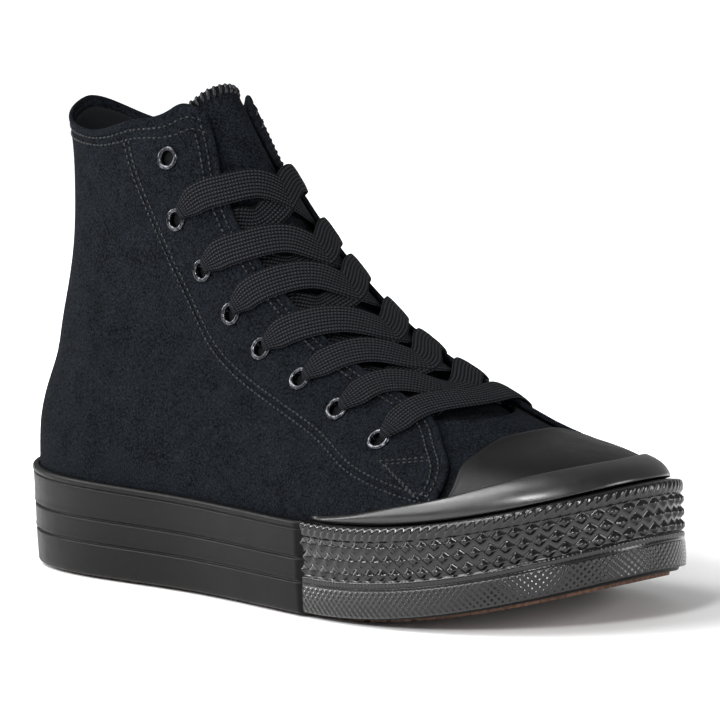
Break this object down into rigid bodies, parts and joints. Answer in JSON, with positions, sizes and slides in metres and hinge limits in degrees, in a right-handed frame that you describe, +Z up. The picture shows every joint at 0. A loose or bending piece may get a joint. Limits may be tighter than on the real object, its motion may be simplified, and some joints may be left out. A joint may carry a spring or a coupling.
{
  "type": "high top sneaker",
  "caption": "Right canvas high top shoe on a cupped rubber sole, with toe cap, textured toe bumper, flat lace and metal eyelets.",
  "frame": {"origin": "on the floor, under the middle of the shoe's bounding box", "axes": "+X to the toe, +Y to the inner side of this right shoe, +Z up"},
  "size_m": [0.292, 0.1042, 0.1721],
  "materials": {
    "canvas": "brushed cotton canvas, matt",
    "webbing": "flat woven lace",
    "lining": "plain woven lining",
    "matte_rubber": "matt moulded rubber",
    "gloss_rubber": "smooth satin rubber",
    "gum_rubber": "matt gum rubber",
    "dark_metal": "dark polished metal"
  },
  "bodies": {
    "root": {"outsole": "gum_rubber", "sidewall": "matte_rubber", "toe_bumper": "matte_rubber", "toe_guard": "gloss_rubber", "toe_cap": "gloss_rubber", "insole": "lining", "upper": "canvas", "tongue": "canvas", "ankle_patch": "gloss_rubber", "eyelet_outer_1": "dark_metal", "eyelet_outer_2": "dark_metal", "eyelet_outer_3": "dark_metal", "eyelet_outer_4": "dark_metal", "eyelet_outer_5": "dark_metal", "eyelet_outer_6": "dark_metal", "eyelet_outer_7": "dark_metal", "eyelet_outer_8": "dark_metal", "eyelet_inner_1": "dark_metal", "eyelet_inner_2": "dark_metal", "eyelet_inner_3": "dark_metal", "eyelet_inner_4": "dark_metal", "eyelet_inner_5": "dark_metal", "eyelet_inner_6": "dark_metal", "eyelet_inner_7": "dark_metal", "eyelet_inner_8": "dark_metal", "lace_crossing_1": "webbing", "lace_crossing_2": "webbing", "lace_crossing_3": "webbing", "lace_crossing_4": "webbing", "lace_crossing_5": "webbing", "lace_crossing_6": "webbing", "lace_crossing_7": "webbing", "lace_end_outer": "webbing", "lace_end_inner": "webbing"}
  },
  "joints": []
}
